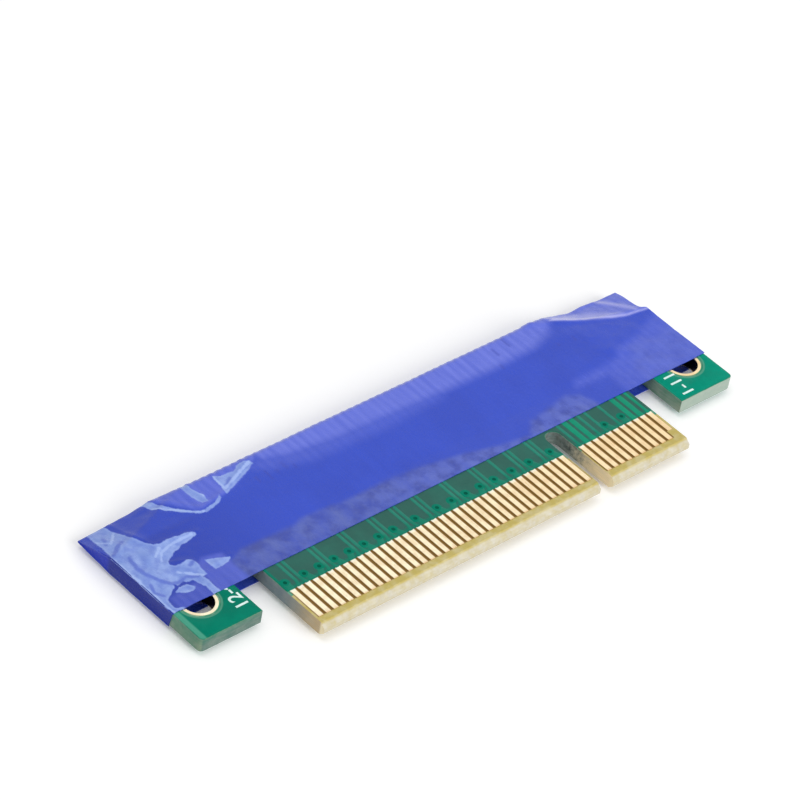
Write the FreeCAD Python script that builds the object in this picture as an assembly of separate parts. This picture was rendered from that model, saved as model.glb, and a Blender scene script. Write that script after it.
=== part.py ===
"""Card-edge riser board: a contact tongue, two end tabs with plated holes, and a taped solder row.

Millimetres.  X runs along the card, Y from the contact edge towards the far edge and Z up through
the thickness.  The origin is the middle of the key slot, on the contact edge, at the underside of
the laminate.  Each sub-part is a function, and main() writes one STEP file for each node.
"""
import FreeCAD
import Part

import math
import os

# Contact fingers of the tongue.
CONTACT_PITCH = 1.0
CONTACT_WIDTH = 0.68
CONTACT_NEAR = 1.3
CONTACT_FAR = 5.7
SHORT_CONTACT_NEAR = 2.4
CONTACT_HEIGHT = 0.05
LONG_COUNT = 38
SHORT_COUNT = 11
KEY_SPACING = 1.5

# Laminate.
THICKNESS = 1.57
TONGUE_MARGIN = 0.65
RELIEF_WIDTH = 3.75
RELIEF_END = 11.2
RELIEF_RADIUS = 0.9
TAB_WIDTH = 7.8
TAB_NEAR = 5.0
TAB_RADIUS = 0.5
BODY_FAR = 18.6
STRIP_LENGTH = 4.4
KEY_WIDTH = 1.9
KEY_END = 9.1
BEVEL_LENGTH = 0.6
BEVEL_DROP = 0.5
CUT_MARGIN = 1.0

# Plated mounting holes.
HOLE_RADIUS = 1.73
HOLE_INSET = 3.27
HOLE_Y = 9.5
PLATING = 0.06
RING_WIDTH = 0.33
MASK_CLEARANCE = 0.22

# Copper and mask.
COPPER_HEIGHT = 0.035
MASK_HEIGHT = 0.065
MASK_INSET = 0.06
SIGNAL_WIDTH = 0.28
POWER_WIDTH = 0.56
PAIR_SPACING = 0.64
PAIR_MERGE = 0.8
VIA_Y = 6.75
VIA_PAD_RADIUS = 0.35
VIA_RADIUS = 0.2
POUR_INSET = 0.3

# Solder row at the far edge.
LAND_WIDTH = 0.7
LAND_LENGTH = 3.2
LAND_END_MARGIN = 0.35
SOLDER_WIDTH = 0.6
SOLDER_HEIGHT = 0.4
SOLDER_INSET = 0.15

# Insulating tape.
TAPE_THICKNESS = 0.1
TAPE_NEAR_FRONT = 9.35
TAPE_NEAR_BACK = 9.7
TAPE_LIFT_OFF = 13.0
TAPE_CLEARANCE = 0.02
LEFT_FLAP_LENGTH = 5.0
LEFT_FLAP_Z = 0.2
RIGHT_FLAP_LENGTH = 4.1
RIGHT_FLAP_Z = 0.7
WAIST_WIDTH = 4.25
WAIST_CREASE_Y = 19.9
WAIST_TIP_Y = 22.75
WAIST_RISE = 0.12
FLAP_SLIT = 0.02

# Ground contacts of each side by contact number.  One through via joins each pair in turn.
GROUND_FRONT = (4, 6, 12, 15, 18, 20, 23, 24, 27, 28, 31, 34, 37, 38, 41, 42, 45, 46, 49)
GROUND_BACK = (4, 7, 13, 16, 18, 21, 22, 25, 26, 29, 32, 35, 36, 39, 40, 43, 44, 47, 49)
POWER_FRONT = (2, 3, 9, 10)
POWER_BACK = (1, 2, 3, 8, 10)
PAIRS_FRONT = (13, 16, 21, 25, 29, 32, 35, 39, 43, 47)
PAIRS_BACK = (14, 19, 23, 27, 33, 37, 41, 45)
SHORTENED_FRONT = (1,)
SHORTENED_BACK = (17, 31, 48)

# Places that follow from the sizes above.
CONTACT_COUNT = LONG_COUNT + SHORT_COUNT
TONGUE_LEFT = -(KEY_SPACING + (LONG_COUNT - 1) * CONTACT_PITCH) - TONGUE_MARGIN
TONGUE_RIGHT = KEY_SPACING + (SHORT_COUNT - 1) * CONTACT_PITCH + TONGUE_MARGIN
BOARD_LEFT = TONGUE_LEFT - RELIEF_WIDTH - TAB_WIDTH
BOARD_RIGHT = TONGUE_RIGHT + RELIEF_WIDTH + TAB_WIDTH
STRIP_FAR = BODY_FAR + STRIP_LENGTH
HOLE_LEFT = BOARD_LEFT + HOLE_INSET
HOLE_RIGHT = BOARD_RIGHT - HOLE_INSET
RING_RADIUS = HOLE_RADIUS + RING_WIDTH
LAND_FAR = STRIP_FAR - LAND_END_MARGIN
LAND_NEAR = LAND_FAR - LAND_LENGTH
MID_PLANE = THICKNESS / 2


def vec(x, y, z=0.0):
    """Return a point in the part's frame."""
    return FreeCAD.Vector(x, y, z)


def contact_x(number):
    """Return the X of a contact, counted from 1 at the short end."""
    if number <= SHORT_COUNT:
        return KEY_SPACING + (SHORT_COUNT - number) * CONTACT_PITCH
    return -KEY_SPACING - (number - SHORT_COUNT - 1) * CONTACT_PITCH


def box(x_low, x_high, y_low, y_high, z_low, z_high):
    """Return a box between two corners."""
    return Part.makeBox(x_high - x_low, y_high - y_low, z_high - z_low, vec(x_low, y_low, z_low))


def prism(points, z_low, z_high):
    """Return a flat plate with a straight-sided outline given as (x, y) points."""
    corners = [vec(x, y, z_low) for x, y in points]
    face = Part.Face(Part.makePolygon(corners + corners[:1]))
    return face.extrude(vec(0, 0, z_high - z_low))


def cylinder(x, y, radius, z_low, z_high):
    """Return an upright cylinder."""
    return Part.makeCylinder(radius, z_high - z_low, vec(x, y, z_low))


def post(x, y, radius, z_low, z_high):
    """Return an eight-sided upright post, as fine as a round under a millimetre across needs."""
    turns = [math.pi / 4 * (step + 0.5) for step in range(8)]
    return prism([(x + radius * math.cos(a), y + radius * math.sin(a)) for a in turns], z_low, z_high)


def on_face(front, build, height):
    """Build a layer of the given height on the front face or under the back face."""
    if front:
        return build(THICKNESS, THICKNESS + height)
    return build(-height, 0.0)


def fuse(shapes):
    """Join shapes into one and merge their coplanar faces."""
    first, *rest = shapes
    if not rest:
        return first
    return first.multiFuse(rest).removeSplitter()


# ---------------------------------------------------------------- laminate


def outline_prism(z_low, z_high, inset=0.0):
    """Return the board's outline as a plate, drawn in by inset."""
    body = box(BOARD_LEFT + inset, BOARD_RIGHT - inset, TAB_NEAR + inset, BODY_FAR - inset, z_low, z_high)
    corners = [edge for edge in body.Edges if is_upright(edge)]
    body = body.makeFillet(TAB_RADIUS, corners)
    strip = box(TONGUE_LEFT + inset, TONGUE_RIGHT - inset, BODY_FAR - 2 * TAB_RADIUS,
                STRIP_FAR - inset, z_low, z_high)
    tongue = box(TONGUE_LEFT + inset, TONGUE_RIGHT - inset, inset, RELIEF_END + CUT_MARGIN, z_low, z_high)
    reliefs = [relief(TONGUE_LEFT - RELIEF_WIDTH, z_low, z_high, inset),
               relief(TONGUE_RIGHT, z_low, z_high, inset)]
    plate = body.cut(reliefs[0]).cut(reliefs[1])
    plate = fuse([plate, tongue, strip])
    return plate.cut(key_slot(z_low, z_high, inset))


def is_upright(edge):
    """Tell whether an edge runs along Z."""
    first, last = edge.Vertexes[0].Point, edge.Vertexes[-1].Point
    return abs(first.x - last.x) + abs(first.y - last.y) < 1e-6


def relief(x_low, z_low, z_high, inset):
    """Return the cutter for the slot beside the tongue, rounded at its inner end."""
    cutter = box(x_low - inset, x_low + RELIEF_WIDTH + inset,
                 TAB_NEAR - CUT_MARGIN, RELIEF_END + inset, z_low, z_high)
    inner = [edge for edge in cutter.Edges
             if is_upright(edge) and edge.Vertexes[0].Point.y > RELIEF_END - 1e-3]
    return cutter.makeFillet(RELIEF_RADIUS, inner)


def key_slot(z_low, z_high, inset=0.0):
    """Return the cutter for the key slot, which ends in a half round."""
    radius = KEY_WIDTH / 2 + inset
    centre = KEY_END - KEY_WIDTH / 2
    channel = box(-radius, radius, -CUT_MARGIN, centre, z_low, z_high)
    return fuse([channel, cylinder(0, centre, radius, z_low, z_high)])


def bevel_cutters():
    """Return the two wedges that bevel the contact edge."""
    wedges = []
    for face_z, inward in ((THICKNESS, -1), (0.0, 1)):
        corners = [vec(TONGUE_LEFT - CUT_MARGIN, 0, face_z + inward * BEVEL_DROP),
                   vec(TONGUE_LEFT - CUT_MARGIN, 0, face_z - inward),
                   vec(TONGUE_LEFT - CUT_MARGIN, BEVEL_LENGTH, face_z - inward),
                   vec(TONGUE_LEFT - CUT_MARGIN, BEVEL_LENGTH, face_z)]
        face = Part.Face(Part.makePolygon(corners + corners[:1]))
        wedges.append(face.extrude(vec(TONGUE_RIGHT - TONGUE_LEFT + 2 * CUT_MARGIN, 0, 0)))
    return wedges


def via_places():
    """Return the X of each ground via, half way between the contacts that it joins."""
    return [(contact_x(front) + contact_x(back)) / 2 for front, back in zip(GROUND_FRONT, GROUND_BACK)]


def board_laminate():
    """Return the glass-fibre core with its bevel, slots and drilled holes."""
    core = outline_prism(0.0, THICKNESS)
    for wedge in bevel_cutters():
        core = core.cut(wedge)
    drills = [cylinder(x, HOLE_Y, HOLE_RADIUS + PLATING, -CUT_MARGIN, THICKNESS + CUT_MARGIN)
              for x in (HOLE_LEFT, HOLE_RIGHT)]
    return core.cut(Part.makeCompound(drills)).cut(ground_vias())


# ---------------------------------------------------------------- contacts and holes


def contacts(front, numbers):
    """Return the gold fingers with the given numbers on one face."""
    shortened = SHORTENED_FRONT if front else SHORTENED_BACK
    fingers = []
    for number in numbers:
        near = SHORT_CONTACT_NEAR if number in shortened else CONTACT_NEAR
        centre = contact_x(number)
        low, high = centre - CONTACT_WIDTH / 2, centre + CONTACT_WIDTH / 2
        fingers.append(on_face(front, lambda a, b: box(low, high, near, CONTACT_FAR, a, b), CONTACT_HEIGHT))
    return Part.makeCompound(fingers)


def hole_plating(x):
    """Return the plated barrel of a mounting hole with its ring on each face."""
    inner, outer = HOLE_RADIUS, HOLE_RADIUS + PLATING
    profile = [(inner, -CONTACT_HEIGHT), (RING_RADIUS, -CONTACT_HEIGHT), (RING_RADIUS, 0.0), (outer, 0.0),
               (outer, THICKNESS), (RING_RADIUS, THICKNESS), (RING_RADIUS, THICKNESS + CONTACT_HEIGHT),
               (inner, THICKNESS + CONTACT_HEIGHT)]
    points = [vec(x + radius, HOLE_Y, z) for radius, z in profile]
    face = Part.Face(Part.makePolygon(points + points[:1]))
    return face.revolve(vec(x, HOLE_Y, 0), vec(0, 0, 1), 360)


def ground_vias():
    """Return the filled posts of copper that join the ground contacts of the two faces."""
    return Part.makeCompound([post(x, VIA_Y, VIA_RADIUS, 0.0, THICKNESS) for x in via_places()])


# ---------------------------------------------------------------- copper


def ribbon(points, width, z_low, z_high):
    """Return a strip of constant width in X along (x, y) points that rise in Y."""
    half = width / 2
    left = [(x - half, y) for x, y in points]
    right = [(x + half, y) for x, y in reversed(points)]
    return prism(left + right, z_low, z_high)


def signal_strip(start_x, run_x, z_low, z_high):
    """Return a signal track from a finger, across to its run and straight on to the land."""
    points = [(start_x, CONTACT_FAR), (run_x, CONTACT_FAR + PAIR_MERGE), (run_x, LAND_NEAR)]
    return ribbon(points, SIGNAL_WIDTH, z_low, z_high)


def power_strip(x, z_low, z_high):
    """Return a straight power track from a finger to its land."""
    return ribbon([(x, CONTACT_FAR), (x, LAND_NEAR)], POWER_WIDTH, z_low, z_high)


def ground_tail(start_x, via_x, z_low, z_high):
    """Return the teardrop of copper from a ground finger to its via."""
    half = CONTACT_WIDTH / 2
    turns = [math.pi / 4 * step for step in range(5)]
    crown = [(via_x + VIA_PAD_RADIUS * math.cos(a), VIA_Y + VIA_PAD_RADIUS * math.sin(a)) for a in turns]
    return prism([(start_x - half, CONTACT_FAR), (start_x + half, CONTACT_FAR)] + crown, z_low, z_high)


def tab_field(left, z_low, z_high):
    """Return the copper field of one end tab, clear of its mounting hole."""
    low = BOARD_LEFT if left else BOARD_RIGHT - TAB_WIDTH
    hole = HOLE_LEFT if left else HOLE_RIGHT
    field = box(low + POUR_INSET, low + TAB_WIDTH - POUR_INSET,
                TAB_NEAR + POUR_INSET, BODY_FAR - POUR_INSET, z_low, z_high)
    clear = RING_RADIUS + 3 * MASK_CLEARANCE
    return field.cut(post(hole, HOLE_Y, clear, z_low - CUT_MARGIN, z_high + CUT_MARGIN))


def signal_runs(front):
    """Return (contact number, run X) for each signal contact of one face."""
    pairs = PAIRS_FRONT if front else PAIRS_BACK
    taken = set(GROUND_FRONT if front else GROUND_BACK) | set(POWER_FRONT if front else POWER_BACK)
    runs = {}
    for first in pairs:
        middle = (contact_x(first) + contact_x(first + 1)) / 2
        runs[first] = middle + PAIR_SPACING / 2
        runs[first + 1] = middle - PAIR_SPACING / 2
    for number in range(1, CONTACT_COUNT + 1):
        if number not in taken and number not in runs:
            runs[number] = contact_x(number)
    return sorted(runs.items())


def tracks(front):
    """Return the signal, power and ground copper of one face, which the mask covers."""
    strips = []
    for number, run in signal_runs(front):
        x = contact_x(number)
        strips.append(on_face(front, lambda a, b: signal_strip(x, run, a, b), COPPER_HEIGHT))
    for number in POWER_FRONT if front else POWER_BACK:
        x = contact_x(number)
        strips.append(on_face(front, lambda a, b: power_strip(x, a, b), COPPER_HEIGHT))
    for number, via in zip(GROUND_FRONT if front else GROUND_BACK, via_places()):
        x = contact_x(number)
        strips.append(on_face(front, lambda a, b: ground_tail(x, via, a, b), COPPER_HEIGHT))
    return Part.makeCompound(strips)


def tab_copper(front):
    """Return the two copper fields of the end tabs of one face."""
    fields = [on_face(front, lambda a, b: tab_field(left, a, b), COPPER_HEIGHT) for left in (True, False)]
    return Part.makeCompound(fields)


def mask_openings():
    """Return the windows in the mask: the contacts, the lands and the mounting holes."""
    low, high = -CUT_MARGIN, THICKNESS + CUT_MARGIN
    windows = [box(TONGUE_LEFT, TONGUE_RIGHT, low, CONTACT_FAR, low, high),
               box(BOARD_LEFT, BOARD_RIGHT, LAND_NEAR, STRIP_FAR + CUT_MARGIN, low, high)]
    rounds = [cylinder(x, HOLE_Y, RING_RADIUS + MASK_CLEARANCE, low, high) for x in (HOLE_LEFT, HOLE_RIGHT)]
    return windows + rounds


def solder_mask(front):
    """Return the mask of one face: a level film that buries the copper and stops at the windows."""
    film = on_face(front, lambda a, b: outline_prism(a, b, MASK_INSET), MASK_HEIGHT)
    return film.cut(Part.makeCompound([tracks(front), tab_copper(front)] + mask_openings()))


# ---------------------------------------------------------------- solder row


def lands(front):
    """Return the bare lands of one face of the far strip."""
    pads = []
    for number in range(1, CONTACT_COUNT + 1):
        centre = contact_x(number)
        low, high = centre - LAND_WIDTH / 2, centre + LAND_WIDTH / 2
        pads.append(on_face(front, lambda a, b: box(low, high, LAND_NEAR, LAND_FAR, a, b), CONTACT_HEIGHT))
    return Part.makeCompound(pads)


def solder_mounds(front):
    """Return the crowned mounds of solder that lie along the lands of one face."""
    half, near = SOLDER_WIDTH / 2, LAND_NEAR + SOLDER_INSET
    crown = [(-half, 0.0), (-0.8 * half, 0.6 * SOLDER_HEIGHT), (-0.3 * half, SOLDER_HEIGHT),
             (0.3 * half, SOLDER_HEIGHT), (0.8 * half, 0.6 * SOLDER_HEIGHT), (half, 0.0)]
    mounds = []
    for number in range(1, CONTACT_COUNT + 1):
        x = contact_x(number)
        outline = [vec(x + across, near, THICKNESS + CONTACT_HEIGHT + up) for across, up in crown]
        face = Part.Face(Part.makePolygon(outline + outline[:1]))
        mounds.append(face.extrude(vec(0, LAND_LENGTH - 2 * SOLDER_INSET, 0)))
    row = Part.makeCompound(mounds)
    return row if front else row.mirror(vec(0, 0, MID_PLANE), vec(0, 0, 1))


# ---------------------------------------------------------------- tape


def strip_section(grow):
    """Return the (y, z) outline of the tape's pocket across the solder row, grown by grow."""
    low = MASK_HEIGHT + TAPE_CLEARANCE + grow
    high = CONTACT_HEIGHT + SOLDER_HEIGHT + TAPE_CLEARANCE + grow
    tip = STRIP_FAR + TAPE_CLEARANCE + grow
    upper = [(KEY_END - CUT_MARGIN, low), (TAPE_LIFT_OFF, low),
             (LAND_NEAR, high), (LAND_FAR, high), (tip, high / 2)]
    return section_outline(upper, MID_PLANE)


def end_section(flap_length, flap_z, grow):
    """Return the (y, z) outline of the tape's pocket at an end of the board, grown by grow."""
    low = MASK_HEIGHT + TAPE_CLEARANCE + grow
    tip = BODY_FAR + flap_length + grow
    upper = [(KEY_END - CUT_MARGIN, low), (TAPE_LIFT_OFF, low), ((TAPE_LIFT_OFF + BODY_FAR) / 2, low),
             (BODY_FAR + TAPE_CLEARANCE + grow / 2, low), (tip, FLAP_SLIT / 2 + grow - MID_PLANE)]
    return section_outline(upper, flap_z)


def left_section(grow):
    """Return the pocket's outline at the left end of the board."""
    return end_section(LEFT_FLAP_LENGTH, LEFT_FLAP_Z, grow)


def right_section(grow):
    """Return the pocket's outline at the right end of the board."""
    return end_section(RIGHT_FLAP_LENGTH, RIGHT_FLAP_Z, grow)


def waist_section(grow):
    """Return the pocket's outline where the tape pinches shut beyond the solder row's right end."""
    low = MASK_HEIGHT + TAPE_CLEARANCE + grow
    upper = [(KEY_END - CUT_MARGIN, low), (TAPE_LIFT_OFF, low),
             ((TAPE_LIFT_OFF + WAIST_CREASE_Y) / 2, low + WAIST_RISE), (WAIST_CREASE_Y, low + WAIST_RISE),
             (WAIST_TIP_Y + grow, FLAP_SLIT / 2 + grow - MID_PLANE)]
    return section_outline(upper, MID_PLANE)


def section_outline(upper, fold_z):
    """Return a closed outline from its upper half, given as (y, height above the front face).

    The lower half mirrors it, and the last point of each half sits about fold_z.
    """
    top = [(y, THICKNESS + height) for y, height in upper]
    bottom = [(y, -height) for y, height in reversed(upper)]
    shift = fold_z - MID_PLANE
    top[-1] = (top[-1][0], top[-1][1] + shift)
    bottom[0] = (bottom[0][0], bottom[0][1] + shift)
    return top + bottom


def section_points(x, section):
    """Return the points of a (y, z) outline in the plane at x."""
    return [vec(x, y, z) for y, z in section]


def polygon_face(points):
    """Return the flat face inside a loop of points."""
    return Part.Face(Part.makePolygon(points + points[:1]))


def creased_span(near, far):
    """Return the solid between two outlines at different X, in flat facets with a crease between two."""
    faces = [polygon_face(near), polygon_face(far)]
    count = len(near)
    for index in range(count):
        after = (index + 1) % count
        corners = [near[index], near[after], far[after], far[index]]
        turn = 1 if index >= count // 2 else 0
        corners = corners[turn:] + corners[:turn]
        faces += [polygon_face(corners[:3]), polygon_face([corners[0]] + corners[2:])]
    return Part.makeSolid(Part.makeShell(faces))


def pocket(grow):
    """Return the solid that the tape's pocket fills, grown by grow on every side but its ends."""
    stations = [section_points(BOARD_LEFT, left_section(grow)),
                section_points(TONGUE_LEFT - TAPE_CLEARANCE, strip_section(grow)),
                section_points(TONGUE_RIGHT + TAPE_CLEARANCE, strip_section(grow)),
                section_points(TONGUE_RIGHT + WAIST_WIDTH, waist_section(grow)),
                section_points(BOARD_RIGHT, right_section(grow))]
    return fuse([creased_span(near, far) for near, far in zip(stations, stations[1:])])


def insulating_tape():
    """Return the tape: folded over the far edge, open at its near edge and closed over the left end."""
    outer = pocket(TAPE_THICKNESS)
    left_wall = polygon_face(section_points(BOARD_LEFT, left_section(TAPE_THICKNESS)))
    left_wall = left_wall.extrude(vec(-TAPE_THICKNESS, 0, 0))
    sheet = fuse([outer, left_wall]).cut(pocket(0.0))
    x_low, x_high = BOARD_LEFT - CUT_MARGIN, BOARD_RIGHT + CUT_MARGIN
    front_trim = box(x_low, x_high, 0, TAPE_NEAR_FRONT, MID_PLANE, THICKNESS + CUT_MARGIN)
    back_trim = box(x_low, x_high, 0, TAPE_NEAR_BACK, -CUT_MARGIN, MID_PLANE)
    return sheet.cut(front_trim).cut(back_trim)


# ---------------------------------------------------------------- output


def nodes():
    """Return each node's name and shape."""
    short = range(1, SHORT_COUNT + 1)
    long = range(SHORT_COUNT + 1, CONTACT_COUNT + 1)
    made = {
        "board_laminate": board_laminate(),
        "left_hole_plating": hole_plating(HOLE_LEFT),
        "right_hole_plating": hole_plating(HOLE_RIGHT),
        "ground_vias": ground_vias(),
        "insulating_tape": insulating_tape(),
    }
    for side, front in (("front", True), ("back", False)):
        made[side + "_solder_mask"] = solder_mask(front)
        made[side + "_long_contacts"] = contacts(front, long)
        made[side + "_short_contacts"] = contacts(front, short)
        made[side + "_tracks"] = tracks(front)
        made[side + "_tab_copper"] = tab_copper(front)
        made[side + "_solder_lands"] = lands(front)
        made[side + "_solder_mounds"] = solder_mounds(front)
    return made


def main():
    """Write every node's STEP file."""
    os.makedirs("parts", exist_ok=True)
    for name, shape in nodes().items():
        shape.exportStep("parts/" + name + ".step")


main()
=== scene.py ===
"""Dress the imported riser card: green mask over buried tracks, gold contacts and a folded blue tape."""

import logging
import math
from collections.abc import Iterator
from contextlib import contextmanager
from dataclasses import dataclass
from enum import Enum
from functools import partialmethod

import bmesh
import bpy
import numpy as np
from mathutils import Matrix, Vector, noise


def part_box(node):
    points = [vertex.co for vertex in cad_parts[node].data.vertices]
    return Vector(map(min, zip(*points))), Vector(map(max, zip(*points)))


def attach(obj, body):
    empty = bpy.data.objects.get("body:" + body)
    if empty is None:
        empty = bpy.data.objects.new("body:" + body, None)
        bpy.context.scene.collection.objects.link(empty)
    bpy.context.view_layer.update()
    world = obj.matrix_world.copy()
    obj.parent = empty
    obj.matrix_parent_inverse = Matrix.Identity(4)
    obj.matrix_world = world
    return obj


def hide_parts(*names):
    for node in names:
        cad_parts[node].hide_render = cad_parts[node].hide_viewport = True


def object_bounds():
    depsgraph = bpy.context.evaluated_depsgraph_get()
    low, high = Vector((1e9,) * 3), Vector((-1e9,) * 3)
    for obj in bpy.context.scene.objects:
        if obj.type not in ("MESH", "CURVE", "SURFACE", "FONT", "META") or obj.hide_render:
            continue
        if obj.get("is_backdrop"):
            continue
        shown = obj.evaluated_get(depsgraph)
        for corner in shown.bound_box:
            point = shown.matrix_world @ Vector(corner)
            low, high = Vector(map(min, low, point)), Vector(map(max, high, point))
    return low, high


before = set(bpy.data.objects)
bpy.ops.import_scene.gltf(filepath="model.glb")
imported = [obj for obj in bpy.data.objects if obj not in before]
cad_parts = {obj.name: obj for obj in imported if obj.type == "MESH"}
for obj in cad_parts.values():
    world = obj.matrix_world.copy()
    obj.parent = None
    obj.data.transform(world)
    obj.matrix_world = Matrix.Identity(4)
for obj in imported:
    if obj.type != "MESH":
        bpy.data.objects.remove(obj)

LOG = logging.getLogger("riser_card")
MM = 0.001
THICKNESS = 1.57
MASK_HEIGHT = 0.065
MASK_RISE = 0.018
MARKS = ("stuck", "painted_sheen", "glint", "fold", "ridge", "rim", "dark_dash")

Colour = tuple[float, float, float, float]
Point = tuple[float, float]
Place = tuple[float, float, float]
Run = tuple[float, float, int]
Piece = bpy.types.Object
Node = bpy.types.Node
Socket = bpy.types.NodeSocket
Tree = bpy.types.NodeTree
Material = bpy.types.Material
Groups = dict[str, Tree]
Array = np.ndarray
frozen = dataclass(frozen=True)


class Slot(Enum):
    """The names of two material slots, for the mask and the tape; nothing here gives them to a piece."""

    MASK = "mask"
    TAPE = "tape"


class Face(Enum):
    """The card's two faces, each with its way along Z and the laminate's height."""

    FRONT = (1, THICKNESS * MM)
    BACK = (-1, 0.0)

    def __init__(self, way: int, surface: float) -> None:
        """Name the two parts of a face's value."""
        self.way, self.surface = way, surface


def tint(red: int, green: int, blue: int) -> Colour:
    """Turn a display colour of 0 to 255 into a shader's linear colour."""
    parts = [channel / 255 for channel in (red, green, blue)]
    linear = [part / 12.92 if part <= 0.04045 else ((part + 0.055) / 1.055) ** 2.4 for part in parts]
    return (*linear, 1.0)


def deselect() -> None:
    """Leave object mode with nothing selected."""
    if bpy.context.object and bpy.context.object.mode != "OBJECT":
        bpy.ops.object.mode_set(mode="OBJECT")
    bpy.ops.object.select_all(action="DESELECT")


def take(name: str) -> Piece:
    """Name the object that an operator has just added, and return it."""
    piece = bpy.context.object
    piece.name = piece.data.name = name
    return piece


def link(name: str, data: bpy.types.ID) -> Piece:
    """Add an object with its data to the scene."""
    piece = bpy.data.objects.new(name, data)
    bpy.context.scene.collection.objects.link(piece)
    return piece


def activate(piece: Piece) -> None:
    """Select one piece alone and make it active."""
    deselect()
    piece.select_set(True)
    bpy.context.view_layer.objects.active = piece


def settle(piece: Piece) -> None:
    """Put a piece's place into its mesh, so that its object is at the origin."""
    activate(piece)
    bpy.ops.object.transform_apply(location=True, rotation=True, scale=True)


def dress_in(piece: Piece, *materials: Material) -> None:
    """Give a piece some materials and no others."""
    piece.data.materials.clear()
    for material in materials:
        piece.data.materials.append(material)


@contextmanager
def editing(piece: Piece, whole: bool = True) -> Iterator[None]:
    """Edit a piece's mesh inside the block, with the whole of it selected or not."""
    activate(piece)
    bpy.ops.object.mode_set(mode="EDIT")
    if whole:
        bpy.ops.mesh.select_all(action="SELECT")
    yield
    bpy.ops.object.mode_set(mode="OBJECT")


# --- node trees


@frozen
class Signal:
    """A value that a shader works out, with plain arithmetic on it."""

    build: "Graph"
    socket: Socket

    def combine(self, kind: str, other: object = 0.0) -> "Signal":
        """Return this value after a Math node."""
        return self.build.math(kind, self, other)

    __add__ = partialmethod(combine, "ADD")
    __sub__ = partialmethod(combine, "SUBTRACT")
    __mul__ = partialmethod(combine, "MULTIPLY")
    __abs__ = partialmethod(combine, "ABSOLUTE")

    def __rsub__(self, other: float) -> "Signal":
        """Return a number less this value."""
        return self.build.math("SUBTRACT", other, self)

    def beside(self, name: str) -> "Signal":
        """Return another output of the node that gives this value."""
        return Signal(self.build, self.socket.node.outputs[name])

    def ramp(self, low: float, high: float, out_low: float = 0.0, out_high: float = 1.0) -> "Signal":
        """Return the value, carried smoothly to another range."""
        node = self.build.add("MapRange", interpolation_type="SMOOTHSTEP", Value=self, From_Min=low,
                              From_Max=high, To_Min=out_low, To_Max=out_high)
        return Signal(self.build, node.outputs["Result"])

    def past(self, low: float, high: float, out_low: float = 0.0, out_high: float = 1.0) -> "Signal":
        """Return the ramp between two places in millimetres."""
        return self.ramp(low * MM, high * MM, out_low, out_high)

    def within(self, low: float, high: float, soft: float = 0.06) -> "Signal":
        """Return the soft-ended mask from low to high in millimetres."""
        return self.past(low - soft, low + soft) * self.past(high + soft, high - soft)


class Graph:
    """A small builder for one shader node tree."""

    def __init__(self, tree: Tree) -> None:
        """Start from a tree, with what it already holds."""
        self.tree = tree

    def add(self, kind: str, **values: object) -> Node:
        """Add a node.

        Args:
            kind: the node's type without its ShaderNode prefix.
            values: properties of the node, or inputs by name with spaces as underscores.

        Returns:
            The node.
        """
        node = self.tree.nodes.new("ShaderNode" + kind)
        self.fill(node, **values)
        return node

    def fill(self, node: Node, **values: object) -> None:
        """Set a node's properties and inputs, as for add."""
        for key, value in values.items():
            if key in node.bl_rna.properties:
                setattr(node, key, value)
            else:
                self.put(node.inputs[key.replace("_", " ")], value)

    def put(self, socket: Socket, value: object) -> None:
        """Link an output to a socket, or set its own value."""
        if isinstance(value, Signal):
            value = value.socket
        if isinstance(value, Socket):
            self.tree.links.new(value, socket)
        else:
            socket.default_value = value

    def math(self, kind: str, first: object, second: object = 0.0, clamp: bool = False) -> Signal:
        """Return the result of a Math node on one or two values."""
        node = self.add("Math", operation=kind, use_clamp=clamp)
        self.put(node.inputs[0], first)
        self.put(node.inputs[1], second)
        return Signal(self, node.outputs[0])

    def most(self, *values: object) -> Signal:
        """Return the largest of some values."""
        best = values[0]
        for value in values[1:]:
            best = self.math("MAXIMUM", best, value)
        return best

    def mix(self, factor: object, first: object, second: object) -> Signal:
        """Return the colour between two colours."""
        node = self.add("Mix", data_type="RGBA", clamp_factor=True)
        for index, value in ((0, factor), (6, first), (7, second)):
            self.put(node.inputs[index], value)
        return Signal(self, node.outputs[2])

    def coat(self, base: object, *coats: tuple[object, object]) -> object:
        """Return a colour under others, each as (share, colour)."""
        for share, colour in coats:
            base = self.mix(share, base, colour)
        return base

    def place(self, output: str = "Object") -> Socket:
        """Return the Object coordinate, or the surface's Normal."""
        return self.add("TexCoord").outputs[output]

    def axes(self, output: str = "Object") -> list[Signal]:
        """Return X, Y and Z of the same."""
        node = self.add("SeparateXYZ")
        self.put(node.inputs[0], self.place(output))
        return [Signal(self, part) for part in node.outputs]

    def mark(self, name: str) -> Signal:
        """Return a number that the mesh carries."""
        return Signal(self, self.add("Attribute", attribute_name=name).outputs["Fac"])

    def wear(self, group: Tree, **values: float) -> Signal:
        """Place a shared group and return its first output."""
        return Signal(self, self.add("Group", node_tree=group, **values).outputs[0])

    def seen(self) -> Signal:
        """Return whether a ray comes straight, mirrored or bent from the camera."""
        path = self.add("LightPath")
        return self.most(*(Signal(self, path.outputs[f"Is {kind} Ray"])
                           for kind in ("Camera", "Glossy", "Transmission")))


class Group(Graph):
    """A shared group, with its inputs and outputs as given and result."""

    def __init__(self, name: str, inputs: dict[str, float], outputs: tuple[str, ...]) -> None:
        """Start the group, with its inputs' defaults."""
        super().__init__(bpy.data.node_groups.new(name, "ShaderNodeTree"))
        for key, default in inputs.items():
            socket = self.tree.interface.new_socket(key, in_out="INPUT", socket_type="NodeSocketFloat")
            socket.default_value = default
        for key in outputs:
            self.tree.interface.new_socket(key, in_out="OUTPUT", socket_type="NodeSocketFloat")
        self.given = self.tree.nodes.new("NodeGroupInput").outputs
        self.result = self.tree.nodes.new("NodeGroupOutput").inputs


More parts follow.
